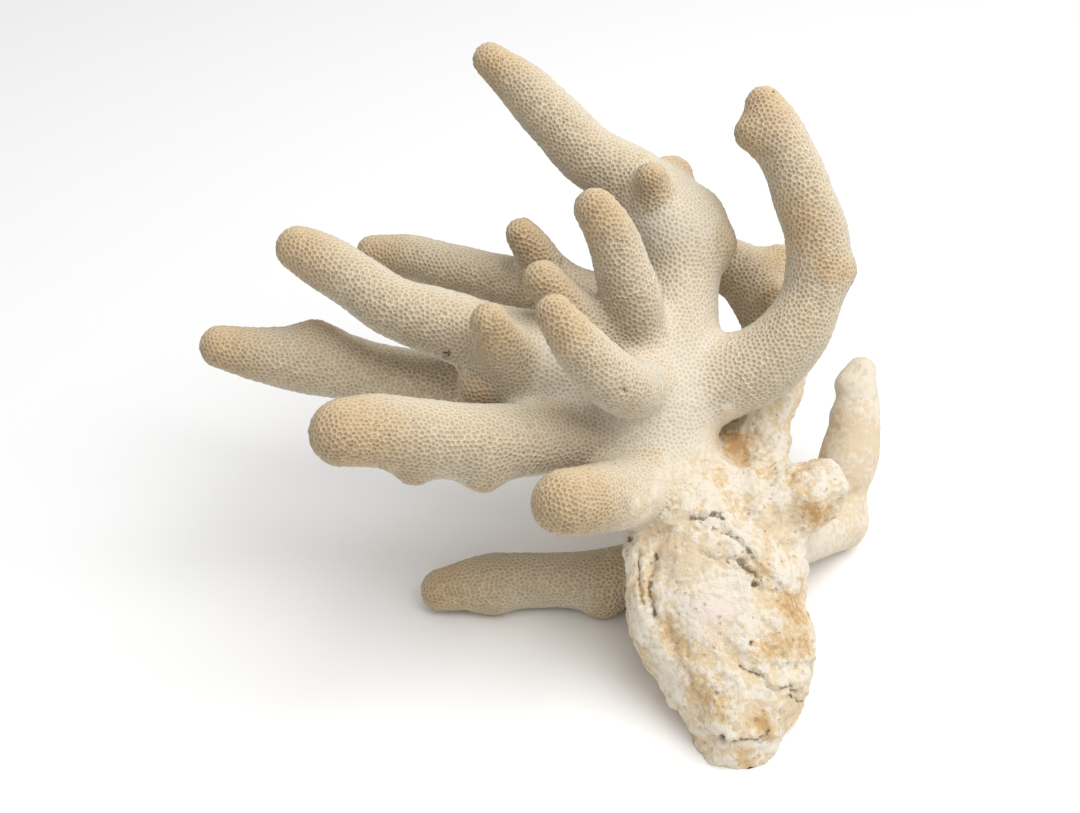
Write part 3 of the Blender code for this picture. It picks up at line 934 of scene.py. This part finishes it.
@dataclass(frozen=True)
class Wear:
    """Where the coral is worn: the edge of the pits, and the lumps, ledges, cracks, holes and stains past it.

    The edge of the pits has them on its left. Lumps are a reach and a height, pores a reach, a share of it
    that is open and a depth, in millimetres. Calm patches have hardly any lumps.
    """

    edge: Path = ((-5, -25), (-1, -15), (5, -7), (14, -1), (20, 4), (22.5, 8))
    edge_reach: float = 7.5
    edge_fade: float = 4.0
    edge_depth: float = 12.0
    edge_patchy: float = 0.6
    bare_limit: float = 0.62
    bare_fade: float = 0.2
    bare_patchy: float = 0.25
    lumps: tuple[tuple[float, float], ...] = ((8.0, 1.2), (3.6, 0.9), (1.5, 0.45))
    rubbed_share: float = 0.25
    pores: tuple[float, float, float] = (3.4, 0.3, 0.8)
    wobble: tuple[float, float] = (1.8, 0.7)
    backs_stained: float = 0.42
    crack_core: float = 0.3
    crack_reach: float = 4.0
    hole_wall: float = 1.4
    furrows: tuple[Furrow, ...] = (
        Furrow(((4.5, -31), (3.6, -36), (2.8, -42), (4, -50)), 1.8, 1.0),
        Furrow(((-0.5, -31), (-0.7, -38), (0.5, -46)), 1.0, 0.8),
        Furrow(((8, -51), (10, -60), (15, -70), (18, -79)), 1.0, 1.4, dark=False),
        Furrow(((27, -32.6), (30, -33.6), (33, -36.6), (36, -38)), 1.6, 0.9),
        Furrow(((20.5, -32), (24.5, -32.2), (28.5, -34.6)), 0.7, 0.6),
        Furrow(((15, -20), (18.5, -20.6), (21.9, -19.6), (25, -21)), 0.8, 0.6),
        Furrow(((22, -23.5), (26, -25), (31, -29), (34, -32.6)), 0.8, 0.6),
        Furrow(((29.8, -1.6), (30.4, -12.2), (31.9, -19.3), (37.5, -25), (44.6, -30.6)), 2.2, 2.8,
            dark=False),
        Furrow(((65, -13), (60, -15.5), (56.5, -20), (54, -26)), 1.4, 1.3, dark=False),
        Furrow(((36.8, -68), (37.5, -70.2), (40.4, -72), (44.6, -71), (47.4, -73)), 1.0, 0.8),
        Furrow(((45, -74), (48, -75.4), (51.6, -76)), 0.8, 0.6),
        Furrow(((30, -65), (33, -66.6), (36.4, -67.4)), 0.6, 0.5),
        Furrow(((27.5, -88), (31, -87), (35, -86.2), (38, -84)), 0.9, 0.8),
    )
    ledges: tuple[Ledge, ...] = (
        Ledge(((11, -22), (15, -20), (21.9, -19.6), (27, -25), (33, -32), (38, -37)), 1.3, 8.0),
        Ledge(((24, -33), (30, -36), (36, -41), (40, -42)), 0.8, 5.0),
        Ledge(((27, -57.5), (33, -63), (41, -64.5), (50, -63.5)), 0.9, 7.0),
        Ledge(((36, -68), (37.5, -70.5), (41, -72.4), (46, -71), (50, -74)), 1.2, 5.0),
        Ledge(((12, -84), (20, -84.5), (28, -87.5), (36, -86.5)), 0.9, 6.0),
    )
    holes: tuple[Hole, ...] = (
        Hole(24.8, -86, 0.8, 1.8), Hole(33.3, -58.2, 0.6, 1.2), Hole(23, -72.9, 0.45, 0.8),
        Hole(34.7, -40, 1.0, 1.6), Hole(30.5, -33.6, 0.9, 1.6), Hole(-3.9, -26.4, 1.0, 1.8),
        Hole(-57.8, 29.2, 0.9, 1.0), Hole(-4.8, 18, 0.5, 0.6),
    )
    # Ochre stains on the worn skin; the strong one at (26, 3) is partly painted shade, darkening the deep
    # hollow between the trunk and the back stem
    ochre: tuple[Stain, ...] = (
        Stain(15, -5, 6, 0.7), Stain(24, -9, 5, 0.8), Stain(9, -16, 5, 0.7), Stain(18, -18, 5, 0.7),
        Stain(27, -17, 4, 0.6), Stain(26, 3, 4.5, 1.7), Stain(31, 1, 4, 0.9), Stain(35, -6, 4.5, 0.8),
        Stain(46, -8, 4.5, 0.7), Stain(51, -15, 5.5, 0.9), Stain(53, -20, 4.5, 1.0), Stain(36, -36, 4, 0.8),
        Stain(30, -53, 3, 0.8), Stain(45, -45, 5.5, 1.0), Stain(46.5, -52, 5.5, 1.0),
        Stain(35, -61, 4.5, 0.8), Stain(42, -59.5, 4.5, 1.0), Stain(49, -60, 4.5, 0.8),
        Stain(62, -21, 5, 0.6), Stain(1, -41, 4.5, 0.7), Stain(9, -56, 6, 0.75), Stain(14, -64, 6, 0.75),
        Stain(20, -72, 6, 0.8), Stain(24, -79, 5, 0.75), Stain(36, -81, 3.6, 1.2), Stain(38, -85, 3, 1.0),
        Stain(33, -93, 5, 0.8),
    )
    pink: tuple[Stain, ...] = (
        Stain(18, -48, 4, 0.8), Stain(25, -47, 4, 0.8), Stain(22, -52, 5, 0.5),
    )
    calm: tuple[Stain, ...] = (
        Stain(14, -40, 11, 0.9), Stain(24, -50, 9, 0.7), Stain(48, -16, 5, 0.5),
    )
    # Warm, darker patches added to the fingertip warmth: the one on the hooked finger's middle is painted
    # shade, the one on its knuckle an orange-brown stain
    warmth_and_shade: tuple[Stain, ...] = (
        Stain(57, 54, 5, 0.7), Stain(50, 39, 5.5, 0.6), Stain(47, 68, 11, 0.9), Stain(-24, -12, 7, 0.4),
        Stain(-3, 12, 5, 0.4),
    )

    def relief(self, points: np.ndarray) -> np.ndarray:
        """Works out lumps and pores.

        Args:
            points: rows of x, y and z.

        Returns:
            How far the worn skin stands out at each point.
        """
        out = np.zeros(len(points))
        for reach, height in self.lumps:
            out += height * wavy(points, reach)
        reach, size, depth = self.pores
        middle = np.array([noise.voronoi(Vector(p))[0][0] for p in points / reach])
        return out - depth * np.clip(1 - middle / size, 0, 1)

    def ragged(self, points: np.ndarray) -> np.ndarray:
        """The points as seen, shifted a little so that lines drawn through them wobble."""
        reach, far = self.wobble
        return EYE.seen(points) + far * np.array([noise.noise_vector(Vector(p))[:] for p in points / reach])

    def pits_left(self, points: np.ndarray, facing: np.ndarray, bare: np.ndarray) -> np.ndarray:
        """How much of its pits each point still has: by the edge of the pits near it, by the limb elsewhere.

        Args:
            points: the points.
            facing: how squarely each faces the eye.
            bare: how much of the skin there belongs to limbs without pits.

        Returns:
            1 for whole pits, 0 for none.
        """
        seen = EYE.seen(points)
        patchy = wavy(points, self.edge_fade)
        along = beside(seen, self.edge)
        near = np.exp(-((along / self.edge_reach) ** 4)) * np.clip(facing * 3, 0, 1)
        near[seen[:, 2] > self.edge_depth] = 0
        by_edge = np.clip(0.5 + along / self.edge_fade / 2 + patchy * self.edge_patchy, 0, 1)
        by_limb = np.clip((self.bare_limit - bare - patchy * self.bare_patchy) / self.bare_fade, 0, 1)
        return near * by_edge + (1 - near) * by_limb

    def shaped(
        self, points: np.ndarray, front: np.ndarray, worn: np.ndarray
    ) -> tuple[np.ndarray, np.ndarray]:
        """Works out the ledges, furrows and holes.

        Args:
            points: the points.
            front: how much each one faces the eye, 0 to 1.
            worn: how worn the skin is there.

        Returns:
            How far each point stands out, and its distance from the nearest dark crack or hole, where shade
            is painted.
        """
        seen = self.ragged(points)
        out, crack_shade = np.zeros(len(points)), np.full(len(points), self.crack_reach)
        unseen = (1 - np.minimum(front * 4, 1)) * FAR
        for ledge in self.ledges:
            off = beside(seen, ledge.path)
            step = np.clip(0.5 + off / ledge.edge, 0, 1)
            out += ledge.lift * step * np.exp(-((off / ledge.reach) ** 2)) * front * worn
        for furrow in self.furrows:
            off = abs(beside(seen, furrow.path))
            out -= furrow.depth * np.exp(-((off / furrow.width) ** 2)) * front * worn
            if furrow.dark:
                crack_shade = np.minimum(crack_shade, off - furrow.width * self.crack_core + unseen)
        whole = EYE.seen(points)
        for hole in self.holes:
            off = np.hypot(whole[:, 0] - hole.across, whole[:, 1] - hole.up)
            out -= hole.depth * np.exp(-((off / hole.radius / self.hole_wall) ** 4)) * front
            crack_shade = np.minimum(crack_shade, off - hole.radius + unseen)
        return out, crack_shade

    def patches(self, points: np.ndarray, stains: Sequence[Stain]) -> np.ndarray:
        """Adds up stains.

        Args:
            points: rows of x, y and z.
            stains: the stains.

        Returns:
            How strong they are at each point together.
        """
        seen = EYE.seen(points)
        clear = np.ones(len(points))
        for stain in stains:
            off = np.hypot(seen[:, 0] - stain.across, seen[:, 1] - stain.up)
            clear *= np.exp(-stain.strength * np.exp(-((off / stain.radius) ** 2)))
        return -np.log(clear)


@dataclass(frozen=True)
class CoralFinish:
    """The dry skeleton's look: cream walls, and tan floors of pits darkened as painted shade in them, chalk
    with ochre stains where it is worn, and cracks and holes painted dark as shade in them.

    Scales are lumps per metre. Bumps are a scale and a height in millimetres.
    """

    wall: Colour = (0.79, 0.71, 0.57)
    wall_tip: Colour = (0.75, 0.61, 0.42)
    wall_fork: Colour = (0.775, 0.715, 0.60)
    # The pits' floors are darker than their walls: painted shade in the pits
    floor: Colour = (0.60, 0.48, 0.32)
    floor_tip: Colour = (0.57, 0.42, 0.25)
    floor_fork: Colour = (0.655, 0.56, 0.425)
    chalk: Colour = (0.81, 0.74, 0.62)
    cream: Colour = (0.75, 0.61, 0.42)
    grey: Colour = (0.58, 0.51, 0.41)
    pink: Colour = (0.80, 0.67, 0.60)
    ochre: Colour = (0.70, 0.50, 0.27)
    deep_ochre: Colour = (0.52, 0.31, 0.135)
    # Near black-brown painted shade inside the cracks and holes
    crack_shade: Colour = (0.20, 0.12, 0.06)
    roughness: float = 0.9
    gloss: float = 0.25
    worn_bumps: tuple[tuple[float, float], ...] = ((320.0, 1.0), (900.0, 0.5), (2400.0, 0.2))
    grain: tuple[float, float] = (2600.0, 0.14)
    pore_scale: float = 420.0
    slow_scale: float = 45.0
    blotch_scale: float = 110.0
    mottle_scale: float = 240.0
    gap_scale: float = 260.0
    speck_scale: float = 620.0
    ragged_scale: float = 900.0
    wall_scale: float = 1500.0
    fleck_scale: float = 1700.0
    rubbed_grey: float = 0.22

    def mixed(self, build: Builder, share: Any, below: Any, above: Any) -> Any:
        """Mixes two colours.

        Args:
            build: the material's maker.
            share: how much of the second one there is.
            below: the first colour, or a colour output.
            above: the second.

        Returns:
            A colour output.
        """
        made = build.node("ShaderNodeMix", {"Factor": share}, data_type="RGBA")
        for slot, colour in ((6, below), (7, above)):
            build.feed(made.inputs[slot], (*colour, 1.0) if isinstance(colour, tuple) else colour)
        return made.outputs[2]

    def cloud(self, build: Builder, scale: float, detail: float = 3.0) -> Field:
        """Noise over the surface.

        Args:
            build: the material's maker.
            scale: its scale.
            detail: how many finer layers it has.

        Returns:
            A number that is about 0.5 in the middle of its range.
        """
        place = build.node("ShaderNodeTexCoord").outputs["Object"]
        made = build.node("ShaderNodeTexNoise", {"Vector": place, "Scale": scale, "Detail": detail})
        return Field(build, made.outputs["Fac"])

    def pores(self, build: Builder) -> Field:
        """Small scattered pores.

        Args:
            build: the material's maker.

        Returns:
            1 in a pore, 0 between them.
        """
        place = build.node("ShaderNodeTexCoord").outputs["Object"]
        made = build.node("ShaderNodeTexVoronoi", {"Vector": place, "Scale": self.pore_scale})
        lot = build.node("ShaderNodeSeparateColor", {"Color": made.outputs["Color"]}).outputs[0]
        near = Field(build, made.outputs["Distance"]) + (self.cloud(build, self.pore_scale * 3) - 0.5) * 0.5
        return (1.0 - near.ramp(0.1, 0.24)) * Field(build, lot).ramp(0.62, 0.68)

    def attribute(self, build: Builder, name: str) -> Field:
        """A number kept on the mesh."""
        return Field(build, build.node("ShaderNodeAttribute", attribute_name=name).outputs["Fac"])

    def pitted_colour(self, build: Builder, slow: Field) -> Any:
        """The colour of the pits: warm at the fingertips and in some patches, one of them painted shade, pale
        at the forks, and darker on the floors as painted shade in the pits.

        Args:
            build: the material's maker.
            slow: slow noise.

        Returns:
            A colour output.
        """
        pit, tip, pale = (self.attribute(build, name) for name in ("pit", "tip", "pale"))
        # Fingertip warmth, which also carries the warm patches and their painted shade
        warmth_and_shade = (tip + (slow - 0.5) * 0.7).ramp(0.2, 0.95)
        light = (pale + (slow - 0.5) * 0.5).ramp(0.05, 0.95)
        wall = self.mixed(build, light, self.mixed(build, warmth_and_shade, self.wall, self.wall_tip), self.wall_fork)
        floor = self.mixed(build, light, self.mixed(build, warmth_and_shade, self.floor, self.floor_tip), self.floor_fork)
        speck = self.cloud(build, self.wall_scale, 2.0)
        # Painted shade: the floors of the pits take the darker floor colour
        return self.mixed(build, (pit + (speck - 0.5) * 0.7).ramp(0.25, 1.0), wall, floor)

    def worn_colour(self, build: Builder, slow: Field) -> Any:
        """The colour of the worn skin: mottled chalk, stained ochre in patches, and creamier and more ochre
        in the hollows of its relief.

        Args:
            build: the material's maker.
            slow: slow noise.

        Returns:
            A colour output.
        """
        names = ("worn", "ochre", "blush", "hollow")
        worn, ochre, pink, hollow = (self.attribute(build, name) for name in names)
        blotch = self.cloud(build, self.blotch_scale, 5.0) - 0.5
        speck = self.cloud(build, self.speck_scale, 4.0) - 0.5
        creamy = (slow + speck * 1.1 + hollow * 0.25).ramp(0.38, 0.62)
        base = self.mixed(build, creamy, self.chalk, self.cream)
        mottle = (self.cloud(build, self.mottle_scale, 4.0) + speck * 0.4).ramp(0.56, 0.78)
        base = self.mixed(build, mottle * 0.6, base, self.grey)
        base = self.mixed(build, (1.0 - worn) * self.rubbed_grey, base, self.grey)
        base = self.mixed(build, pink * (blotch * 2.0 + 0.8), base, self.pink)
        fleck = self.cloud(build, self.fleck_scale, 3.0) - 0.5
        spread = ochre * (worn * 0.75 + 0.25) + blotch * 1.2 + speck * 1.7 + fleck * 1.1 + hollow * 0.25
        base = self.mixed(build, spread.ramp(0.3, 0.95) * 0.85, base, self.ochre)
        return self.mixed(build, spread.ramp(0.85, 1.5) * 0.85, base, self.deep_ochre)

    def material(self) -> bpy.types.Material:
        """Builds the material."""
        made = bpy.data.materials.new("coral_skeleton")
        made.use_nodes = True
        build = Builder(made.node_tree)
        pitted, worn = self.attribute(build, "pitted"), self.attribute(build, "worn")
        slow = self.cloud(build, self.slow_scale)
        colour = self.mixed(build, pitted, self.worn_colour(build, slow), self.pitted_colour(build, slow))
        pores = self.pores(build) * (1.0 - pitted) * (worn * 0.7 + 0.3)
        # Cracks and holes are painted near black-brown, as painted shade in them, broken up by noise
        ragged = self.attribute(build, "crack_shade") + (self.cloud(build, self.ragged_scale, 4.0) - 0.5) * 1.6
        whole = self.cloud(build, self.gap_scale, 2.0).ramp(0.4, 0.56)
        crack_shade = (1.0 - ragged.ramp(-0.2, 0.4)) * (whole * 0.8 + 0.2)
        colour = self.mixed(build, pores * 0.45, colour, self.deep_ochre)
        colour = self.mixed(build, crack_shade * 0.85, colour, self.crack_shade)
        scale, height = self.grain
        bumps = self.cloud(build, scale, 3.0) * height
        for scale, height in self.worn_bumps:
            bumps = bumps + self.cloud(build, scale, 4.0) * (1.0 - pitted) * (worn * 0.8 + 0.2) * height
        bumps = bumps - pores * 0.3 - crack_shade * 0.5
        bump = build.node("ShaderNodeBump", {"Strength": 1.0, "Distance": MM, "Height": bumps})
        sockets = {"Base Color": colour, "Roughness": self.roughness, "Specular IOR Level": self.gloss}
        shader = build.node("ShaderNodeBsdfPrincipled", {**sockets, "Normal": bump.outputs["Normal"]})
        build.node("ShaderNodeOutputMaterial", {"Surface": shader.outputs["BSDF"]})
        return made


@dataclass
class DressedSkin:
    """The whole coral's finished skin as arrays, before it is parted into its pieces.

    Faces are rows of corners one after the other, with the number of corners of each in sizes.
    """

    points: np.ndarray
    corners: np.ndarray
    sizes: np.ndarray
    owner: np.ndarray
    values: dict[str, np.ndarray]

    @classmethod
    def read(cls, mesh: bpy.types.Mesh, face_names: Sequence[str], point_names: Sequence[str]) -> DressedSkin:
        """Reads a mesh, and turns what it holds for each face into numbers for its points.

        Args:
            mesh: the skin of pits.
            face_names: the attributes that it holds for each face.
            point_names: those that it holds for each point.

        Returns:
            The skin.
        """
        corners = read_all(mesh.loops, "vertex_index", kind=np.int32)
        starts = read_all(mesh.polygons, "loop_start", kind=np.int32)
        sizes = np.diff(np.append(starts, len(corners)))
        owner = read_all(mesh.attributes["owner"].data, "value", kind=np.int32)
        held = {name: read_all(mesh.attributes[name].data, "value") for name in (*face_names, *point_names)}
        points = read_all(mesh.vertices, "co", 3).astype(float) / MM
        count = np.maximum(np.bincount(corners, minlength=len(points)), 1)
        for name in face_names:
            held[name] = np.bincount(corners, np.repeat(held[name], sizes), len(points)) / count
        return cls(points, corners, sizes, owner, held)

    def rims(self, corners: np.ndarray, sizes: np.ndarray) -> list[list[int]]:
        """Finds the open rims of some faces.

        Args:
            corners: the faces' corners.
            sizes: how many corners each has.

        Returns:
            Each rim as a ring of points, in the order that a cap over it needs.
        """
        starts = np.cumsum(sizes) - sizes
        after = np.arange(len(corners)) + 1
        after[starts + sizes - 1] = starts
        first, second = corners.astype(np.int64), corners[after].astype(np.int64)
        key = np.minimum(first, second) * len(self.points) + np.maximum(first, second)
        _, index, count = np.unique(key, return_inverse=True, return_counts=True)
        open_edge = count[index] == 1
        onward = dict(zip(second[open_edge].tolist(), first[open_edge].tolist()))
        rings = []
        while onward:
            start, at = onward.popitem()
            ring = [start]
            while at != start:
                ring.append(at)
                at = onward.pop(at)
            rings.append(ring)
        return rings

    def piece(self, number: int, name: str, finish: bpy.types.Material) -> bpy.types.Object:
        """One closed piece: the faces that a node owns, and a cap over each cut.

        Args:
            number: the owner's number.
            name: the piece's name.
            finish: its material.

        Returns:
            The object, at the origin.
        """
        mine = self.owner == number
        corners, sizes = self.corners[np.repeat(mine, self.sizes)], self.sizes[mine]
        points = [self.points]
        values = {key: [held] for key, held in self.values.items()}
        caps: list[int] = []
        for ring in self.rims(corners, sizes):
            middle = len(self.points) + len(points) - 1
            points.append(self.points[ring].mean(axis=0)[None])
            for held in values.values():
                held.append(held[0][ring].mean()[None])
            for a, b in zip(ring, ring[1:] + ring[:1]):
                caps += [middle, a, b]
        corners = np.concatenate((corners, np.array(caps, corners.dtype)))
        sizes = np.concatenate((sizes, np.full(len(caps) // 3, 3)))
        used, corners = np.unique(corners, return_inverse=True)
        mesh = bpy.data.meshes.new(name)
        mesh.vertices.add(len(used))
        mesh.loops.add(len(corners))
        mesh.polygons.add(len(sizes))
        mesh.vertices.foreach_set("co", (np.concatenate(points)[used] * MM).astype(np.float32).ravel())
        mesh.loops.foreach_set("vertex_index", corners.astype(np.int32))
        mesh.polygons.foreach_set("loop_start", (np.cumsum(sizes) - sizes).astype(np.int32))
        mesh.update(calc_edges=True)
        for key, held in values.items():
            keep(mesh, key, np.concatenate(held)[used])
        self.crease(mesh, len(caps) // 3)
        mesh.materials.append(finish)
        return placed(name, mesh)

    def crease(self, mesh: bpy.types.Mesh, caps: int) -> None:
        """Smooths the skin and keeps its caps flat and sharp-edged.

        Args:
            mesh: the piece's mesh.
            caps: how many of its last faces are caps.
        """
        flat = np.arange(len(mesh.polygons)) >= len(mesh.polygons) - caps
        mesh.polygons.foreach_set("use_smooth", ~flat)
        edge_of = read_all(mesh.loops, "edge_index", kind=np.int32)
        sharp = np.zeros(len(mesh.edges), bool)
        sharp[edge_of[len(edge_of) - 3 * caps:]] = True
        mesh.edges.foreach_set("use_edge_sharp", sharp)


@dataclass
class Coral:
    """The whole coral: its shape, its pits and wear, and its finish."""

    shape: CoralShape = field(default_factory=CoralShape)
    pits: PitPattern = field(default_factory=PitPattern)
    wear: Wear = field(default_factory=Wear)
    finish: CoralFinish = field(default_factory=CoralFinish)
    worn_nodes: tuple[str, ...] = ("stump", "back_stem", "right_finger")
    pale_from: float = 0.7
    pale_over: float = 0.65
    least_bare: float = 0.01
    seed: int = 7

    def net_mesh(self, net: PitNet, owner: np.ndarray) -> bpy.types.Mesh:
        """Turns the net into a mesh that holds what the skin says at each point.

        Args:
            net: the net.
            owner: the number of each point's node.

        Returns:
            The mesh.
        """
        points = net.points()
        reading = net.skin.read(points)
        pitted = self.wear.pits_left(points, reading.way @ EYE.toward(), reading.bare)
        pale = np.clip((reading.down + 0.5 * reading.crowd - self.pale_from) / self.pale_over, 0, 1)
        mesh = bpy.data.meshes.new("pit net")
        net.bm.to_mesh(mesh)
        mesh.vertices.foreach_set("co", (points * MM).astype(np.float32).ravel())
        held = {"pitted": pitted, "tip": reading.tip, "pale": pale, "worn": reading.worn}
        for name, values in held.items():
            keep(mesh, name, values)
        keep(mesh, "owner", owner, "INT")
        mesh.update()
        return mesh

    def weathered(self, mesh: bpy.types.Mesh) -> DressedSkin:
        """Wears the skin where it has no pits, and lays it flat where it rests.

        Args:
            mesh: the skin of pits.

        Returns:
            The finished skin.
        """
        normals = read_all(mesh.vertex_normals, "vector", 3).astype(float)
        skin = DressedSkin.read(mesh, ("pitted", "tip", "pale", "worn"), ("pit",))
        wear, points, values = self.wear, skin.points, skin.values
        bare, worn = 1 - values["pitted"], values["worn"]
        front = np.clip(normals @ EYE.toward() * 2, 0, 1)
        rows = np.flatnonzero(bare > self.least_bare)
        rough = np.zeros(len(points))
        share = wear.rubbed_share + (1 - wear.rubbed_share) * worn[rows]
        rough[rows] = wear.relief(points[rows]) * bare[rows] * share
        rough *= np.exp(-front * wear.patches(points, wear.calm))
        out, values["crack_shade"] = wear.shaped(points, front, bare)
        # The warm patches raise the fingertip warmth, partly as painted shade on the hooked finger's middle
        values["tip"] = np.minimum(values["tip"] + front * wear.patches(points, wear.warmth_and_shade), 1)
        values["hollow"] = -rough
        stains = wear.patches(points, wear.ochre)
        values["ochre"] = front * stains + (1 - front) * wear.backs_stained
        values["blush"] = front * wear.patches(points, wear.pink)
        skin.points = points + (rough + out)[:, None] * normals
        skin.points[:, 2] = np.maximum(skin.points[:, 2], 0.0)
        return skin

    def build(self) -> list[bpy.types.Object]:
        """Builds and dresses every piece of the coral.

        Returns:
            The pieces.
        """
        # Noise vectors start from the clock unless they are seeded
        noise.seed_set(self.seed)
        finish = self.finish.material()
        net = PitNet(Skin(self.shape))
        net.weave()
        owner = Partition(self.shape.nodes(), net).owners()
        skin = self.weathered(self.pits.pitted(self.net_mesh(net, owner), finish))
        net.bm.free()
        pieces = []
        for number, node in enumerate(self.shape.nodes()):
            piece = skin.piece(number, f"{node}_skin", finish)
            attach(piece, "root")
            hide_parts(node)
            "worn_skeleton" if node in self.worn_nodes else "pitted_skeleton"
            faces = sum(len(p.vertices) - 2 for p in piece.data.polygons)
            LOG.info("%s: %d triangles", piece.name, faces)
            pieces.append(piece)
        return pieces


@dataclass(frozen=True)
class Studio:
    """The pale floor, the soft lights and the camera."""

    floor_half: float = 3.0
    floor_colour: Colour = (0.96, 0.96, 0.96)
    floor_roughness: float = 0.8
    sky: float = 0.54
    key_power: float = 10.5
    key_size: float = 1.0
    key_place: tuple[float, float, float] = (0.42, -0.15, 1.0)

    def floor(self) -> None:
        """The floor that the coral lies on."""
        bm = bmesh.new()
        bmesh.ops.create_grid(bm, x_segments=8, y_segments=8, size=self.floor_half)
        mesh = bpy.data.meshes.new("floor")
        bm.to_mesh(mesh)
        bm.free()
        made = bpy.data.materials.new("floor")
        made.use_nodes = True
        build = Builder(made.node_tree)
        sockets = {"Base Color": (*self.floor_colour, 1.0), "Roughness": self.floor_roughness}
        shader = build.node("ShaderNodeBsdfPrincipled", sockets)
        build.node("ShaderNodeOutputMaterial", {"Surface": shader.outputs["BSDF"]})
        mesh.materials.append(made)
        placed("floor", mesh)

    def lights(self) -> None:
        """Light from all round, and one wide soft light from above."""
        world = bpy.data.worlds.new("studio")
        world.use_nodes = True
        build = Builder(world.node_tree)
        sky = build.node("ShaderNodeBackground", {"Color": (1.0, 1.0, 1.0, 1.0), "Strength": self.sky})
        build.node("ShaderNodeOutputWorld", {"Surface": sky.outputs[0]})
        bpy.context.scene.world = world
        lamp = bpy.data.lights.new("key", "AREA")
        lamp.energy = self.key_power
        lamp.size = self.key_size
        obj = placed("key", lamp)
        obj.location = self.key_place
        obj.rotation_euler = Vector(self.key_place).to_track_quat("Z", "Y").to_euler()

    def camera(self) -> None:
        """The camera where the eye is."""
        data = bpy.data.cameras.new("camera")
        data.lens = EYE.lens
        data.sensor_width = EYE.sensor
        data.clip_start = EYE.nearest
        obj = placed("camera", data)
        obj.matrix_world = EYE.camera_place()
        bpy.context.scene.camera = obj

    def build(self) -> None:
        """Sets up the whole studio."""
        self.floor()
        self.lights()
        self.camera()
        bpy.context.scene.view_settings.view_transform = "Standard"


def main() -> None:
    """Builds the coral and its studio."""
    logging.basicConfig(level=logging.INFO, format="%(message)s")
    Studio().build()
    pieces = Coral().build()
    LOG.info("%d pieces", len(pieces))


if __name__ == "__main__":
    main()
